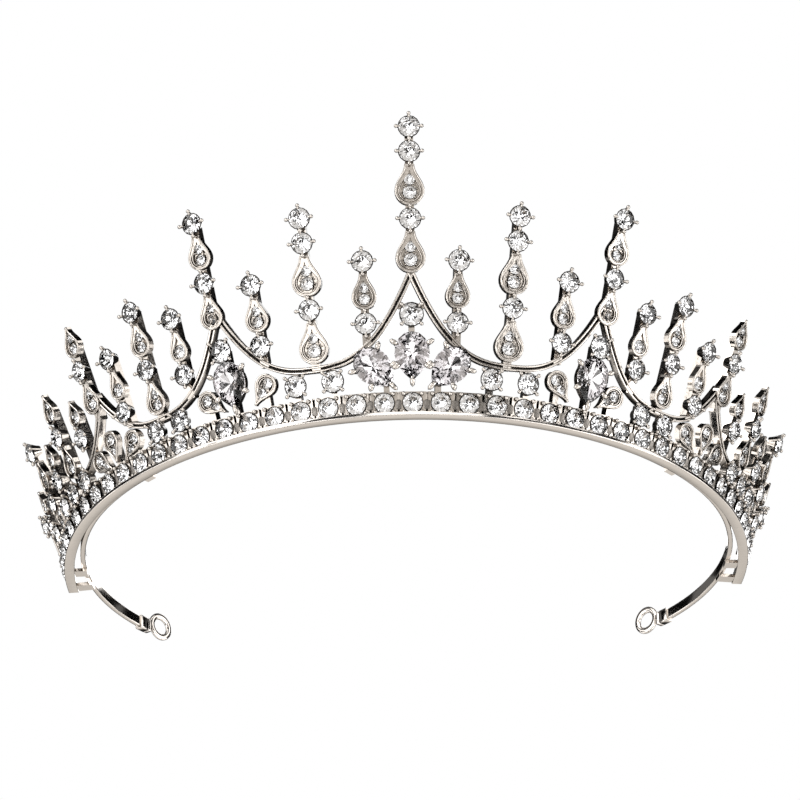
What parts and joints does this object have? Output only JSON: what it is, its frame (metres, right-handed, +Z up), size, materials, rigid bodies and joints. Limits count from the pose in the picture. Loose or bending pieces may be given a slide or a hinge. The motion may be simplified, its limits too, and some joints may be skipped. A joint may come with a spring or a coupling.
{
  "type": "bridal tiara",
  "caption": "Bridal tiara: sprung headband with end loops, a stone-set rail, draped swags and upright spires of claw-set crystals and drop stones.",
  "frame": {"origin": "middle of the bounding box, on the surface that the rail's underside rests on", "axes": "+X to the right seen from the front, the crown's face and its lean towards -Y, +Z up out of the headband's plane"},
  "size_m": [0.1652, 0.1289, 0.0557],
  "materials": {
    "crown_metal": "polished plated casting",
    "band_metal": "smooth plated strip",
    "crystal": "faceted clear",
    "zircon": "faceted clear"
  },
  "bodies": {
    "root": {"headband": "band_metal", "end_loop_left": "band_metal", "end_loop_right": "band_metal", "band_lugs": "band_metal", "rail_plate": "crown_metal", "rail_settings": "crown_metal", "rail_stones": "crystal", "swag_inner_left": "crown_metal", "swag_inner_right": "crown_metal", "swag_middle_left": "crown_metal", "swag_middle_right": "crown_metal", "swag_outer_left": "crown_metal", "swag_outer_right": "crown_metal", "swag_end_left": "crown_metal", "swag_end_right": "crown_metal", "spire_centre": "crown_metal", "spire_1_left": "crown_metal", "spire_1_right": "crown_metal", "spire_2_left": "crown_metal", "spire_2_right": "crown_metal", "spire_3_left": "crown_metal", "spire_3_right": "crown_metal", "spire_4_left": "crown_metal", "spire_4_right": "crown_metal", "spire_5_left": "crown_metal", "spire_5_right": "crown_metal", "spire_6_left": "crown_metal", "spire_6_right": "crown_metal", "spire_7_left": "crown_metal", "spire_7_right": "crown_metal", "spire_8_left": "crown_metal", "spire_8_right": "crown_metal", "spire_9_left": "crown_metal", "spire_9_right": "crown_metal", "spire_10_left": "crown_metal", "spire_10_right": "crown_metal", "spire_11_left": "crown_metal", "spire_11_right": "crown_metal", "spire_12_left": "crown_metal", "spire_12_right": "crown_metal", "spire_13_left": "crown_metal", "spire_13_right": "crown_metal", "spire_14_left": "crown_metal", "spire_14_right": "crown_metal", "spire_round_stones": "crystal", "pave_stones_large": "crystal", "pave_stones_small": "crystal", "centre_drop_setting": "crown_metal", "centre_drop_stone": "zircon", "side_drop_setting_left": "crown_metal", "side_drop_setting_right": "crown_metal", "side_drop_stones": "zircon", "peak_drop_setting_left": "crown_metal", "peak_drop_setting_right": "crown_metal", "peak_drop_stones": "zircon", "top_round_stones": "crystal", "filler_settings": "crown_metal", "filler_stones": "crystal", "leaf_settings": "crown_metal"}
  },
  "joints": []
}
